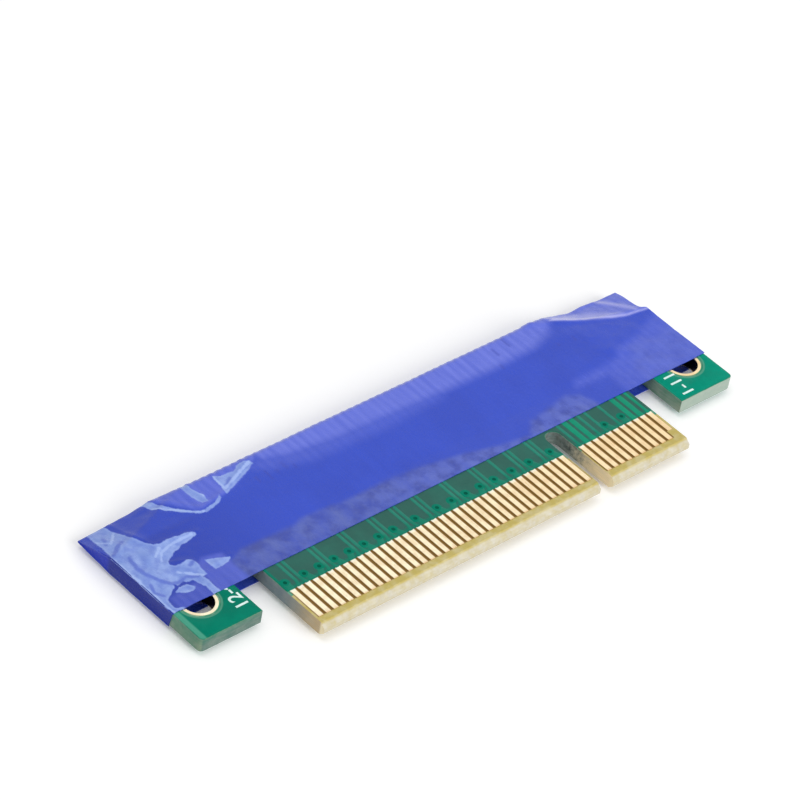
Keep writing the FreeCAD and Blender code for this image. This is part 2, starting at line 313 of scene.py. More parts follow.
def grain_group() -> Tree:
    """Return the shared grain: a fine noise in a chosen range."""
    inputs = {"Scale": 4000.0, "Stretch": 1.0, "Layering": 1.0, "Low": 0.0, "High": 1.0}
    group = Group("surface_grain", inputs, ("Value", "Fine"))
    given = group.given
    shares = group.add("CombineXYZ", X=1.0, Y=given["Stretch"], Z=given["Layering"])
    stretched = group.add("VectorMath", operation="MULTIPLY")
    for index, factor in enumerate((group.place(), shares.outputs[0])):
        group.put(stretched.inputs[index], factor)
    fine = group.add("TexNoise", Detail=3.0, Roughness=0.6, Vector=stretched.outputs[0],
                     Scale=given["Scale"]).outputs[0]
    spread = group.add("MapRange", From_Min=0.3, From_Max=0.7, Value=fine, To_Min=given["Low"],
                       To_Max=given["High"])
    group.put(group.result["Value"], spread.outputs[0])
    group.put(group.result["Fine"], fine)
    return group.tree


def blotch_group() -> Tree:
    """Return the shared blotches: slow patches of handling."""
    group = Group("handling_blotches", {"Scale": 220.0, "Amount": 1.0}, ("Mask",))
    given = group.given
    cloud = group.add("TexNoise", Detail=4.0, Roughness=0.55, Vector=group.place(), Scale=given["Scale"])
    lifted = Signal(group, cloud.outputs[0]).ramp(0.38, 0.68)
    group.put(group.result["Mask"], group.math("MULTIPLY", lifted, given["Amount"], clamp=True))
    return group.tree


# --- finishes


class Paint(Graph):
    """A builder for one material, with the shared groups."""

    def __init__(self, name: str, effects: Groups, **values: float) -> None:
        """Start the material, with the shader's plain inputs by name."""
        self.material, self.effects = bpy.data.materials.new(name), effects
        self.material.use_nodes = True
        super().__init__(self.material.node_tree)
        self.tree.nodes.clear()
        self.shader = self.add("BsdfPrincipled", **values)
        self.add("OutputMaterial", Surface=self.shader.outputs[0])

    def grain(self, scale: float, low: float = 0.0, high: float = 1.0, stretch: float = 1.0,
              layering: float = 1.0) -> Signal:
        """Return the grain in a range, drawn out along Y or thinned along Z."""
        shape = {"Scale": scale, "Stretch": stretch, "Layering": layering}
        return self.wear(self.effects["grain"], Low=low, High=high, **shape)

    def blotches(self, scale: float, amount: float) -> Signal:
        """Return the shared blotches."""
        return self.wear(self.effects["blotches"], Scale=scale, Amount=amount)

    def roughen(self, scale: float, low: float, high: float, stretch: float = 1.0) -> Signal:
        """Vary the roughness with the grain, and return its fine part."""
        rough = self.grain(scale, low, high, stretch)
        self.fill(self.shader, Roughness=rough)
        return rough.beside("Fine")

    def bump(self, height: Signal, strength: float, distance: float) -> None:
        """Bend the shader's normal, with the distance in millimetres."""
        node = self.add("Bump", Strength=strength, Distance=distance * MM, Height=height)
        self.fill(self.shader, Normal=node.outputs[0])

    def on_tabs(self, x: Signal) -> Signal:
        """Return the mask of the two end tabs."""
        return self.most(x.past(-41.5, -42.5), x.past(14, 15))


@frozen
class Finish:
    """A finish: its name and the values that are the same all over."""

    name: str
    metallic: float = 0.0
    roughness: float = 0.5
    specular: float = 0.5

    def material(self, effects: Groups) -> Material:
        """Build the material."""
        plain = {"Metallic": self.metallic, "Roughness": self.roughness, "Specular_IOR_Level": self.specular}
        paint = Paint(self.name, effects, **plain)
        paint.fill(paint.shader, Base_Color=self.dress(paint))
        return paint.material

    def dress(self, paint: Paint) -> Signal:
        """Set the roughness and the bumps, and return the colour."""
        raise NotImplementedError


@frozen
class LaminateFinish(Finish):
    """Glass-fibre laminate, layered on its cut sides."""

    resin: Colour = tint(190, 172, 92)
    nose: Colour = tint(204, 198, 182)
    # The bare laminate between the contacts, darkened as painted shade.
    gap_shade: Colour = tint(118, 84, 10)
    rim: Colour = tint(40, 142, 112)
    # The walls that face along X, on the tongue and on the tabs, are darker than the fronts: painted shade.
    side: Colour = tint(114, 132, 140)
    shaded_tab_side: Colour = tint(84, 132, 108)
    # The green, darker top band of the tab walls: partly the mask's edge, partly painted shade near the mask.
    skirt_and_shade: Colour = tint(22, 118, 90)
    side_near_nose: Colour = tint(194, 168, 124)
    front_side: Colour = tint(150, 172, 158)
    # The fronts at the left, darker than those at the right: painted shade.
    shaded_left_front_side: Colour = tint(62, 104, 94)
    # The key slot's wall grows darker from its mouth inwards: painted shade in the recess.
    shaded_slot_wall: Colour = tint(98, 122, 120)
    slot_mouth: Colour = tint(252, 230, 184)
    slot_pocks_and_shade: Colour = tint(30, 32, 34)
    cut_tip: Colour = tint(244, 228, 186)
    thread: Colour = tint(70, 66, 58)
    cloth: Colour = tint(206, 210, 200)
    chalk: Colour = tint(236, 232, 214)
    layer: float = 0.19 * MM

    def dress(self, paint: Paint) -> Signal:
        """Colour by the way a surface faces and its place, with painted shade on the cut walls that face
        along X.
        """
        x, y, z = paint.axes()
        normal_x, _, normal_z = paint.axes("Normal")
        upright, sideways = abs(normal_z).ramp(0.35, 0.2), abs(normal_x).ramp(0.4, 0.8)
        cloth = paint.grain(420.0, layering=8.0)
        threads = (paint.math("SINE", z * (2 * math.pi / self.layer)) + 1.0) * cloth
        # Painted shade darkens the laminate between the contacts.
        shade_between = self.shade_between_contacts(x, y)
        flat = paint.mix(y.past(5.0, 5.02), paint.mix(shade_between, self.resin, self.gap_shade),
                         paint.mix(shade_between, self.rim, self.gap_shade))
        cut = paint.coat(self.cut_wall(paint, x, y, z, sideways), (threads * 0.2, self.thread),
                         (cloth * x.past(-30, -20, 0.12, 0.28), self.cloth))
        bare, tipped = (1.0 - shade_between) * upright.ramp(0.0, 1.0, 1.0, 0.3), paint.grain(1500.0, 0.45, 1.0)
        paint.roughen(2600.0, 0.55, 0.85)
        paint.bump(threads + cloth.beside("Fine"), 0.35, 0.03)
        return paint.coat(
            flat,
            (upright, cut),
            (y.past(0.75, 0.45), paint.mix(sideways, self.resin, self.cut_tip)),
            (y.past(0.56, 0.34) * tipped, paint.mix(sideways, self.nose, self.cut_tip)),
            (paint.blotches(900.0, 0.22) * bare, self.chalk))

    def cut_wall(self, paint: Paint, x: Signal, y: Signal, z: Signal, sideways: Signal) -> Signal:
        """Mix the cut walls' colour on the tabs, near the nose and in the key slot, with painted shade on the
        walls that face along X, on the fronts at the left and deep in the slot.

        Args:
            paint: the material's builder.
            x, y, z: the place.
            sideways: the mask of the walls that look along X.

        Returns:
            The colour.
        """
        on_tab, leftward = paint.on_tabs(x), x.past(-20, -30)
        side = paint.coat(self.side, (on_tab, self.shaded_tab_side), (y.past(6.5, 0.8), self.side_near_nose))
        front_side = paint.mix(leftward, self.front_side, self.shaded_left_front_side)
        skirt_and_shade_share = z.past(0.6, 1.6) * on_tab * paint.most(sideways, leftward)
        pocked = paint.grain(2600.0, -0.25, 0.25)
        mouth = (y + pocked * (3.0 * MM)).past(7.6, 2.6)
        # Dark pocks laid only deep in the slot: the grain, with painted shade.
        dark = paint.math("ADD", pocked, 0.2, clamp=True) * 1.6 * mouth.ramp(1.0, 0.0)
        shaded_slot_wall = paint.coat(self.shaded_slot_wall, (mouth, self.slot_mouth), (dark, self.slot_pocks_and_shade))
        in_slot = abs(x).past(1.1, 1.0) * y.past(0.3, 0.6)
        return paint.coat(front_side, (sideways, side), (skirt_and_shade_share * 0.55, self.skirt_and_shade), (in_slot, shaded_slot_wall))

    def shade_between_contacts(self, x: Signal, y: Signal) -> Signal:
        """Return the mask of the painted shade between the contacts, over the bare laminate there."""
        along = y.past(1.22, 1.42) * y.past(5.75, 5.7)
        across = x.past(-38.9, -38.8) * x.past(11.85, 11.75) * abs(x).past(1.0, 1.15)
        short_end = x.past(11.02, 11.08) * y.past(2.5, 2.4)
        return along * across * (1.0 - short_end)


@frozen
class GoldFinish(Finish):
    """Gold plate, faintly brushed, darker in patches and towards the nose end."""

    bright: Colour = tint(255, 247, 216)
    warm: Colour = tint(252, 228, 182)
    # Darker gold in patches and towards the nose end.
    darker_gold: Colour = tint(226, 180, 124)
    # Darker edges of each contact where the plating rounds off: painted shade.
    edge: Colour = tint(146, 98, 18)
    # A painted highlight at the contacts' top ends.
    dazzle: Colour = tint(255, 255, 246)
    # The inside of the holes' bores, nearly black: painted shade.
    bore_shade: Colour = tint(34, 26, 24)
    pitch: float = 1.0 * MM

    def dress(self, paint: Paint) -> Signal:
        """Vary the plating along and across each contact, with painted shade on its edges, a painted
        highlight at its top end and painted shade inside the bores.
        """
        x, y, z = paint.axes()
        normal_z = paint.axes("Normal")[2]
        on_tongue = y.past(5.8, 5.75)
        off_centre = abs(paint.math("FLOORED_MODULO", x, self.pitch) - self.pitch / 2)
        in_bore = abs(normal_z).ramp(0.5, 0.3) * y.past(7.0, 7.1) * z.past(0.0, 0.1) * z.past(1.55, 1.4)
        brushed = paint.roughen(5200.0, 0.24, 0.42, stretch=0.08)
        paint.bump(brushed, 0.12, 0.01)
        return paint.coat(
            self.bright,
            (x.past(-34, 16), self.warm),
            (paint.blotches(900.0, 0.35), self.darker_gold),
            (y.past(1.6, 1.3) * 0.5, self.darker_gold),
            (off_centre.past(0.25, 0.33) * on_tongue * 0.85, self.edge),
            (y.past(5.2, 5.6) * on_tongue * 0.6, self.dazzle),
            (in_bore, self.bore_shade))


@frozen
class MaskFinish(Finish):
    """Green solder mask, dull over laminate and bright over copper."""

    over_laminate: Colour = tint(54, 102, 92)
    over_copper: Colour = tint(0, 126, 102)
    over_right_tab: Colour = tint(0, 146, 120)
    over_power: Colour = tint(10, 146, 112)
    over_tails: Colour = tint(0, 124, 98)
    # A painted highlight along the mask's rounded end edges.
    pale: Colour = tint(96, 176, 150)
    weave: Colour = tint(0, 74, 68)
    cloud: Colour = tint(40, 180, 150)
    halo: Colour = tint(112, 168, 142)
    ring_edge: Colour = tint(74, 82, 56)
    copper_share: float = 0.0
    power_strips: tuple[Point, Point] = ((2.1, 4.1), (9.2, 12.0))

    def dress(self, paint: Paint) -> Signal:
        """Mix the dull and the bright green under a faint weave, with a painted highlight along the end
        edges.
        """
        x, y, _ = paint.axes()
        on_tab = paint.on_tabs(x)
        by_row = y.within(5.0, 6.1, 0.25) * 0.75
        by_vias = y.within(5.0, 6.7, 0.3) * self.copper_share
        off_tab = paint.math("SUBTRACT", 0.75, on_tab, clamp=True)
        powered = paint.math("ADD", *(x.within(*strip) for strip in self.power_strips), clamp=True)
        weave = paint.grain(1500.0)
        beyond = self.beyond_rings(paint, x, y)
        paint.roughen(3200.0, 0.26, 0.4)
        paint.bump(weave.beside("Fine"), 0.18, 0.012)
        return paint.coat(
            self.over_laminate,
            (paint.most(on_tab, x.past(-38.7, -38.95), by_row, self.copper_share), self.over_copper),
            (x.past(14, 15), self.over_right_tab),
            (by_vias * off_tab, self.over_tails),
            (powered * self.copper_share, self.over_power),
            (weave * 0.16, self.weave),
            (paint.blotches(260.0, 0.07), self.cloud),
            # Painted highlight along the end edges.
            (x.within(-50.7, -50.05, 0.12) * 0.6, self.pale),
            (beyond.within(0.16, 0.42) * 0.5, self.halo),
            (beyond.within(-0.1, 0.14, 0.04) * 0.75, self.ring_edge))

    def beyond_rings(self, paint: Paint, x: Signal, y: Signal) -> Signal:
        """Return how far each point lies outside the nearer hole's ring."""
        reaches = []
        for name in ("left_hole_plating", "right_hole_plating"):
            low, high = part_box(name)
            across, up = x - (low[0] + high[0]) / 2, y - (low[1] + high[1]) / 2
            reaches.append(paint.math("SQRT", across * across + up * up) - (high[0] - low[0]) / 2)
        return paint.math("MINIMUM", *reaches)


@dataclass(frozen=True, kw_only=True)
class PatchyFinish(Finish):
    """A finish that goes from one colour to another in patches.

    Its patches are scale and amount, and its sheen is the grain's scale and the range of roughness.
    """

    fresh: Colour
    dull: Colour
    patches: Point
    sheen: Place | None = None
    relief: float = 0.0

    def dress(self, paint: Paint) -> Signal:
        """Let one colour wear through the other."""
        if self.sheen:
            fine = paint.roughen(*self.sheen)
            if self.relief:
                paint.bump(fine, self.relief, 0.02)
        return paint.mix(paint.blotches(*self.patches), self.fresh, self.dull)


@frozen
class TapeFinish(Finish):
    """Blue tape: clear film, with painted highlights and painted sheen where light catches it, and paler
    where it is pressed on.
    """

    film: Colour = tint(30, 68, 198)
    deep: Colour = tint(12, 52, 172)
    far_end: Colour = tint(30, 68, 198)
    stuck: Colour = tint(98, 114, 198)
    stuck_left: Colour = tint(90, 106, 180)
    stuck_dark: Colour = tint(50, 64, 146)
    # A painted sheen where the film catches the light, over the far band and broad patches.
    painted_sheen: Colour = tint(116, 130, 234)
    # The glint and its brighter and dimmer tones: painted highlights on the creased film.
    glint: Colour = tint(126, 154, 224)
    bright_glint: Colour = tint(172, 196, 248)
    dim_glint: Colour = tint(88, 112, 206)
    # A painted highlight along the right flap's crease.
    rim: Colour = tint(186, 188, 246)
    # Short darker dashes across the far band.
    dark_dash: Colour = tint(38, 60, 176)

    def dress(self, paint: Paint) -> Signal:
        """Mix the film's colours by the marks that its mesh carries, among them painted highlights and
        painted sheen.
        """
        marks = {name: paint.mark(name) for name in MARKS}
        x, y, _ = paint.axes()
        darker = paint.most(paint.blotches(160.0, 0.3), x.past(-28, -48))
        film = paint.mix(darker, self.film, self.deep)
        drawn = paint.math("MULTIPLY", paint.grain(1800.0, -0.3, 0.5, stretch=0.06), 0.3, clamp=True)
        streak = paint.grain(1300.0, 0.62, 1.0, stretch=0.1)
        mottle = paint.grain(620.0, 0.55, 1.0, stretch=0.8)
        paint.roughen(2400.0, 0.2, 0.32, stretch=0.5)
        paint.bump(streak.beside("Fine"), 0.12, 0.02)
        return paint.coat(
            film,
            (y.past(18.6, 19.4), paint.mix(0.5, film, self.far_end)),
            (drawn, self.deep),
            self.pressed(paint, marks["stuck"], x),
            # Painted sheen, streaked at the left and mottled at the right.
            (marks["painted_sheen"] * paint.mix(x.past(7, 11), streak, mottle), self.painted_sheen),
            self.painted_glints(paint, marks),
            (marks["rim"], self.rim),
            (marks["dark_dash"], self.dark_dash))

    def pressed(self, paint: Paint, stuck: Signal, x: Signal) -> tuple[Signal, Signal]:
        """Return the share and colour of the band pressed onto the board."""
        cloth = paint.grain(520.0, 0.5, 1.0, stretch=0.7)
        pale_tone_and_highlight = paint.coat(self.stuck, (x.past(-16, -26), self.stuck_left),
                          (paint.blotches(600.0, 0.9), self.stuck_dark))
        return stuck * cloth, pale_tone_and_highlight

    def painted_glints(self, paint: Paint, marks: dict[str, Signal]) -> tuple[Signal, Signal]:
        """Return the share and colour of the painted highlights on the crumples, dimmer along the folds and
        brighter along the ridges.
        """
        ragged = paint.grain(1400.0, -0.1, 0.1, stretch=0.7)
        tone = paint.grain(620.0, -0.4, 1.1, stretch=0.45)
        pale_tone_and_highlight = paint.coat(
            self.glint,
            (paint.math("MULTIPLY", tone, 0.5, clamp=True), self.bright_glint),
            (paint.blotches(1100.0, 0.45), self.dim_glint),
            (marks["glint"].ramp(0.3, 0.1, 0.0, 0.25), self.bright_glint),
            # Dimmer and brighter lines of the painted highlight, along its folds and ridges.
            ((marks["fold"] + ragged).ramp(0.34, 0.06, 0.0, 0.85), self.dim_glint),
            ((marks["ridge"] + ragged).ramp(0.24, 0.04, 0.0, 0.8), self.bright_glint))
        return (marks["glint"] + ragged).ramp(-0.08, 0.1) * 0.92, pale_tone_and_highlight


def make_finishes() -> dict[str, Material]:
    """Build every finish once, by the kind of piece that wears it."""
    effects = {"grain": grain_group(), "blotches": blotch_group()}
    finishes = {
        "laminate": LaminateFinish("glass_laminate", roughness=0.7),
        "gold": GoldFinish("gold_plate", metallic=1.0),
        "mask": MaskFinish("solder_mask", specular=0.06),
        "track_mask": MaskFinish("mask_over_tracks", specular=0.12, over_copper=tint(36, 132, 112),
                                 copper_share=0.95),
        "field_mask": MaskFinish("mask_over_fields", specular=0.04, copper_share=1.0),
        "copper": PatchyFinish("etched_copper", metallic=1.0, fresh=tint(214, 132, 92),
                               dull=tint(150, 88, 58), patches=(600.0, 0.8), sheen=(4000.0, 0.3, 0.5)),
        "solder": PatchyFinish("tin_solder", metallic=1.0, fresh=tint(206, 208, 210),
                               dull=tint(132, 134, 136), patches=(1400.0, 0.8), sheen=(4000.0, 0.22, 0.45),
                               relief=0.2),
        "ink": PatchyFinish("legend_ink", roughness=0.6, fresh=tint(232, 252, 248),
                            dull=tint(150, 214, 200), patches=(2600.0, 0.35), sheen=(5000.0, 0.5, 0.7)),
        "pit": PatchyFinish("via_pit", roughness=0.6, specular=0.03, fresh=tint(0, 84, 66),
                            dull=tint(8, 104, 84), patches=(3000.0, 0.5)),
        "tape": TapeFinish("blue_tape"),
        # A darker copy of the tape for its end wall: painted shade, partly the dark board end under the film;
        # lighter towards the far fold.
        "tape_edge": TapeFinish("blue_tape_over_edge_in_shade", specular=0.2, film=tint(14, 42, 156),
                                deep=tint(10, 36, 144), far_end=tint(24, 54, 214)),
    }
    return {kind: finish.material(effects) for kind, finish in finishes.items()}


# --- board


@frozen
class CircuitBoard:
    """The board: its finishes and the mask's rise over the copper."""

    finishes: dict[str, Material]
    spread: float = 0.05 * MM
    shoulder: float = 0.06 * MM
    via_y: float = 6.75 * MM
    via_gap: float = 0.3 * MM
    field_radius: float = 0.58 * MM
    pit_radius: float = 0.21 * MM
    dimple_steps: tuple[Point, ...] = ((0.18, 0.022), (0.17, 0.012), (0.04, -0.006), (0.08, -0.006))

    def dress_nodes(self) -> None:
        """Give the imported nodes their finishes, by the last word of each name."""
        kinds = dict(contacts="gold", plating="gold", tracks="copper", vias="copper", lands="copper",
                     mounds="solder")
        for name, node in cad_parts.items():
            kind = name.rpartition("_")[2]
            for slot in node.material_slots:
                slot.material = self.finishes[kinds.get(kind, kind)]

    def rise_over(self, face: Face, part: str, material: Material) -> Piece:
        """Model the mask's rise over one pattern of copper.

        Args:
            face: the card's face.
            part: the rest of the copper node's name.
            material: what the rise wears.

        Returns:
            The rise, a softly shouldered copy of the copper.
        """
        side = face.name.lower()
        piece = link(f"{side}_mask_over_{part}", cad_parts[f"{side}_{part}"].data.copy())
        dress_in(piece, material)
        with editing(piece):
            bpy.ops.mesh.remove_doubles(threshold=0.001 * MM)
            bpy.ops.mesh.dissolve_limited(angle_limit=math.radians(1))
            bpy.ops.transform.shrink_fatten(value=self.spread, use_even_offset=True)
        self.level(piece, face)
        self.select_rim(piece, face)
        with editing(piece, whole=False):
            bpy.ops.mesh.bevel(offset=self.shoulder, segments=2, affect="EDGES", clamp_overlap=True)
        bpy.ops.object.shade_smooth_by_angle(angle=math.radians(50))
        return piece

    def level(self, piece: Piece, face: Face) -> None:
        """Bring a pattern's two sides to their heights in and above the mask."""
        heights = [vertex.co.z for vertex in piece.data.vertices]
        middle = (min(heights) + max(heights)) / 2
        for vertex in piece.data.vertices:
            proud = MASK_RISE if (vertex.co.z - middle) * face.way > 0 else -MASK_RISE
            vertex.co.z = face.surface + face.way * (MASK_HEIGHT + proud) * MM

    def select_rim(self, piece: Piece, face: Face) -> None:
        """Select the edges round the outward faces of a piece."""
        mesh = bmesh.new()
        mesh.from_mesh(piece.data)
        for edge in mesh.edges:
            outward = [linked.normal.z * face.way > 0.9 for linked in edge.link_faces]
            edge.select = any(outward) and not all(outward)
        mesh.to_mesh(piece.data)
        mesh.free()

    def via_dimple(self) -> Piece:
        """Model one closed via: a soft mound round a sunk pit."""
        deselect()
        bpy.ops.mesh.primitive_circle_add(vertices=16, radius=self.field_radius, fill_type="NGON")
        dimple = take("via_dimple")
        with editing(dimple):
            for inwards, up in self.dimple_steps:
                bpy.ops.mesh.inset(thickness=inwards * MM, depth=up * MM)
        bpy.ops.object.shade_smooth_by_angle(angle=math.radians(60))
        dress_in(dimple, self.finishes["field_mask"], self.finishes["pit"])
        for polygon in dimple.data.polygons:
            polygon.material_index = int(Vector(polygon.center[:2]).length < self.pit_radius)
        return dimple

    def via_row(self, face: Face, model: Piece) -> Piece:
        """Copy the dimple onto every ground via of one face."""
        turn = Matrix.Rotation(math.pi if face is Face.BACK else 0.0, 4, "X")
        copies = []
        for x in self.via_places():
            copies.append(link("via", model.data.copy()))
            place = (x, self.via_y, face.surface + face.way * MASK_HEIGHT * MM)
            copies[-1].matrix_world = Matrix.Translation(place) @ turn
        activate(copies[0])
        for copy in copies:
            copy.select_set(True)
        bpy.ops.object.join()
        row = take(f"{face.name.lower()}_via_dimples")
        settle(row)
        return row

    def via_places(self) -> list[float]:
        """Return the X of each packed via, from its node's own points."""
        xs = np.sort([vertex.co.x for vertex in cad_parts["ground_vias"].data.vertices])
        groups = np.split(xs, np.nonzero(np.diff(xs) > self.via_gap)[0] + 1)
        return [(group[0] + group[-1]) / 2 for group in groups]

    def build(self) -> list[Piece]:
        """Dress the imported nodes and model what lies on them."""
        self.dress_nodes()
        worn = {"tracks": self.finishes["track_mask"], "tab_copper": self.finishes["field_mask"]}
        pieces = [self.rise_over(face, *pattern) for face in Face for pattern in worn.items()]
        model = self.via_dimple()
        pieces += [self.via_row(face, model) for face in Face]
        bpy.data.objects.remove(model)
        for piece in pieces:
            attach(piece, "root")
        return pieces


# --- legend


@frozen
class ContactNumbers:
    """The plain contact numbers printed on the two end tabs."""

    finishes: dict[str, Material]
    size: float = 2.2 * MM
    ink_height: float = 0.012 * MM
    boldness: float = 0.02 * MM
    surface: float = (THICKNESS + MASK_HEIGHT + MASK_RISE) * MM

    def line(self, name: str, words: str, x: float, y: float) -> Piece:
        """Print one line of plain numbers that reads along Y.

        Args:
            name: the piece's name.
            words: the numbers.
            x: the foot of the signs in millimetres.
            y: the start of the line in millimetres.

        Returns:
            The printed piece.
        """
        deselect()
        bpy.ops.object.text_add(location=(0, 0, 0))
        text = bpy.context.object.data
        text.body, text.size, text.extrude = words, self.size, self.ink_height / 2
        text.offset, text.resolution_u = self.boldness, 4
        bpy.ops.object.convert(target="MESH")
        piece = take(name)
        place = Matrix.Translation((x * MM, y * MM, self.surface))
        piece.matrix_world = place @ Matrix.Rotation(math.pi / 2, 4, "Z")
        settle(piece)
        dress_in(piece, self.finishes["ink"])
        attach(piece, "root")
        return piece

    def build(self) -> list[Piece]:
        """Print the numbers of the long and the short row."""
        return [self.line("long_row_numbers", "12-49", -43.35, 6.2),
                self.line("short_row_numbers", "1-11", 18.35, 5.2)]


# --- tape


def path(*numbers: float) -> tuple[Point, ...]:
    """Pair numbers as points in millimetres."""
    return tuple(zip(numbers[::2], numbers[1::2]))


def smooth(value: Array) -> Array:
    """Return the smooth step of a value between 0 and 1."""
    clipped = np.clip(value, 0, 1)
    return clipped * clipped * (3 - 2 * clipped)


def distance_to(x: Array, y: Array, points: tuple[Point, ...]) -> Array:
    """Measure how far places lie from a line.

    Args:
        x, y: the places.
        points: the line's points.

    Returns:
        The distance of each place.
    """
    nearest = np.full(x.shape, np.inf)
    for (x0, y0), (x1, y1) in zip(points, points[1:]):
        across, up = x1 - x0, y1 - y0
        length = across * across + up * up + 1e-12
        along = np.clip(((x - x0) * across + (y - y0) * up) / length, 0, 1)
        nearest = np.minimum(nearest, np.hypot(x - x0 - along * across, y - y0 - along * up))
    return nearest


def eased(values: Array, reach: int) -> Array:
    """Average each row of values softly with its neighbours.

    Args:
        values: the rows, which run on in the same direction past both ends.
        reach: how many rows on each side count.

    Returns:
        As many rows as were given.
    """
    weights = np.hanning(2 * reach + 3)[1:-1]
    weights /= weights.sum()
    before, after = 2 * values[:1] - values[reach:0:-1], 2 * values[-1:] - values[-2:-reach - 2:-1]
    padded = np.concatenate([before, values, after])
    return sum(weight * padded[step:step + len(values)] for step, weight in enumerate(weights))


def resample(points: Array, travel: Array, places: Array) -> Array:
    """Return the points of a line at other places along it."""
    return np.stack([np.interp(places, travel, points[:, axis]) for axis in (0, 1)], axis=1)


def spaced(*runs: Run) -> Array:
    """Return evenly spaced places in runs of (start, end, count)."""
    return np.concatenate([np.linspace(*run, endpoint=False) for run in runs] + [[runs[-1][1]]])


@frozen
class Patch:
    """A patch of the tape with a mark inside its outline."""

    mark: str
    strength: float
    outline: tuple[Point, ...]
    soft: float = 0.3

    def depth(self, x: Array, y: Array) -> Array:
        """Return how far inside the outline each place lies."""
        closed = self.outline + self.outline[:1]
        inside = np.zeros(x.shape, dtype=bool)
        for (x0, y0), (x1, y1) in zip(closed, closed[1:]):
            slope = (x1 - x0) / (y1 - y0) if y1 != y0 else 0.0
            inside ^= ((y0 > y) != (y1 > y)) & (x < x0 + slope * (y - y0))
        nearest = distance_to(x, y, closed)
        return np.where(inside, nearest, -nearest)

    def cover(self, x: Array, y: Array) -> Array:
        """Return how much of the patch each place has."""
        return self.strength * smooth((self.depth(x, y) + self.soft) / (2 * self.soft))


@frozen
class Crease:
    """A ridge in the tape along a line, in millimetres."""

    points: tuple[Point, ...]
    width: float
    height: float

    def lift(self, x: Array, y: Array) -> Array:
        """Return the crease's height at each place."""
        return self.height * np.exp(-(distance_to(x, y, self.points) / self.width) ** 1.5)


@frozen
class Station:
    """The tape's upper half at one X, and its fold's shift."""

    x: float
    upper: tuple[Point, ...]
    fold: float


# Outlines of the painted highlights on the crumpled film, in millimetres.
GLINT_OUTLINES = (
    path(-49.8, 23.6, -50.1, 21.7, -50.4, 20.1, -50.5, 19.3, -49.3, 19.2, -49.1, 18, -49.5, 16.4, -49.5, 15.2,
        -48.9, 13.9, -48.4, 12.9, -47.8, 12.1, -47, 12.3, -46.6, 12.1, -46, 11.9, -45.7, 11.1, -45.5, 10.6,
        -45.6, 9.2, -44.7, 9.2, -44.6, 11.1, -44.8, 11.8, -44.3, 11.9, -44.1, 13.4, -44.2, 14.1, -44.6, 14.5,
        -45.6, 14.3, -46.2, 14.4, -46.5, 14.8, -46.5, 15.1, -46, 15.5, -45.2, 15.9, -44.2, 16.2, -43, 16.45,
        -41.8, 16.6, -41.3, 16.85, -41.8, 17.25, -42.6, 17.45, -44.2, 17.7, -45.6, 17.6, -46.2, 17.9,
        -46.9, 19, -47.3, 20.1, -47.6, 21.5, -47.8, 23.6),
    path(-50.8, 18.7, -50.4, 19.6, -48.9, 19.6, -48.7, 18, -49, 16.5, -49, 15.1, -48.4, 13.9, -48, 12.9,
        -48.1, 12.1, -49.1, 11.6, -49.9, 11.1, -50.1, 9.9, -49.1, 9.4, -50.7, 9.2, -50.9, 14),
    path(-48.7, 11.5, -47.9, 11.9, -46.9, 11.8, -46.3, 11.2, -46.6, 10.8, -47.6, 10.9),
    path(-43.1, 13.5, -42.6, 13.4, -41.6, 12.95, -40.7, 12.5, -41.4, 12.05, -43.1, 11.9),
    path(-43.3, 23.5, -42.4, 23.5, -41.7, 21.6, -40.5, 20.2, -39.6, 19.3, -38.7, 18.95, -38.5, 18.65,
        -39.2, 18.65, -40.5, 19.6, -42, 21.1, -42.9, 22),
    path(-38.6, 23.5, -37.8, 23.5, -37.7, 21.6, -37.3, 20.7, -37.4, 19.6, -38.2, 19.8, -38.6, 21.2),
    path(-38.7, 18.9, -37.1, 19.2, -36, 19.9, -36, 19.35, -37.1, 18.9, -38.7, 18.55),
    path(-35.2, 19.6, -34.8, 22.4, -34.1, 22, -32.5, 21.8, -31.1, 22.5, -29.9, 22.2, -29.9, 21.6, -31.4, 21,
        -33.4, 20.2),
)
# Lines where the painted highlight is dimmer.
DIM_GLINT_LINES = (
    path(-50.3, 19, -49.2, 19.7, -48.3, 20.1),
    path(-49.3, 17.8, -49.7, 16.2, -49.5, 15, -48.8, 13.5, -48.1, 12.6, -47.2, 12.4, -46.3, 12.7,
        -45.2, 12.1),
    path(-44.9, 13.7, -44.4, 13.9),
    path(-50, 13.6, -50.4, 12.6, -49.9, 11.8),
    path(-49.2, 21.9, -49.6, 20.9),
    path(-34.4, 20.5, -33.4, 21.2),
)
# Lines where the painted highlight is brighter.
BRIGHT_GLINT_LINES = (
    path(-46.9, 15.7, -46.2, 16.6, -44.4, 17, -42, 17),
    path(-47.1, 16.4, -46, 17.2),
    path(-50.6, 9.4, -50.65, 18.4),
    path(-50.2, 22.2, -49.2, 20.6, -47.8, 21.9),
    path(-46.6, 13.6, -45.4, 12.6, -44.6, 11.9),
    path(-43, 22.2, -40.4, 19.9, -38.8, 18.8),
    path(-34.8, 22.2, -34.9, 20.2, -33.2, 20.9, -30.2, 22),
    path(-37.5, 22.6, -37.4, 20.6),
)
